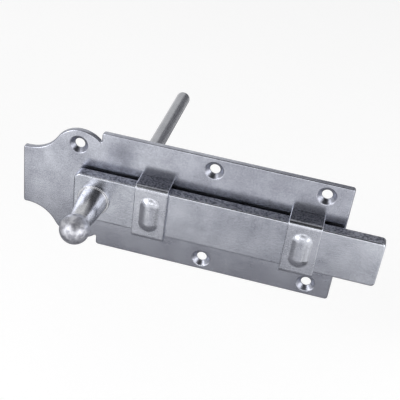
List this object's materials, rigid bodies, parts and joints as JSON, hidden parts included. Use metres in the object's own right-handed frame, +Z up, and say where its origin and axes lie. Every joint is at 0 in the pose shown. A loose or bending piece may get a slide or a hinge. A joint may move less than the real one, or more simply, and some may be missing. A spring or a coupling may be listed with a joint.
{
  "type": "sliding bolt",
  "caption": "Flat sliding door bolt on a shaped plate with bent keeps, a ball knob in front and a long pin through the door.",
  "frame": {"origin": "middle of the plate's rectangle, on the back face that lies on the door", "axes": "+X along the bar towards the nose that shoots, +Y out of the plate's back into the door, +Z up"},
  "size_m": [0.178, 0.1577, 0.065],
  "materials": {
    "zinc_plate": "bright zinc plated pressed sheet, lightly satin",
    "zinc_keep": "bright zinc plated bent sheet",
    "zinc_bar": "bright zinc plated rolled flat",
    "zinc_turned": "bright zinc plated turned steel, near mirror"
  },
  "bodies": {
    "plate": {"base_plate": "zinc_plate", "left_keep": "zinc_keep", "right_keep": "zinc_keep"},
    "bolt": {"bolt_bar": "zinc_bar", "knob": "zinc_turned", "through_pin": "zinc_turned"}
  },
  "joints": [
    {"name": "bolt_slide", "type": "slide", "parent": "plate", "child": "bolt", "axis": [1, 0, 0], "range_m": [-0.019, 0.0113]}
  ]
}
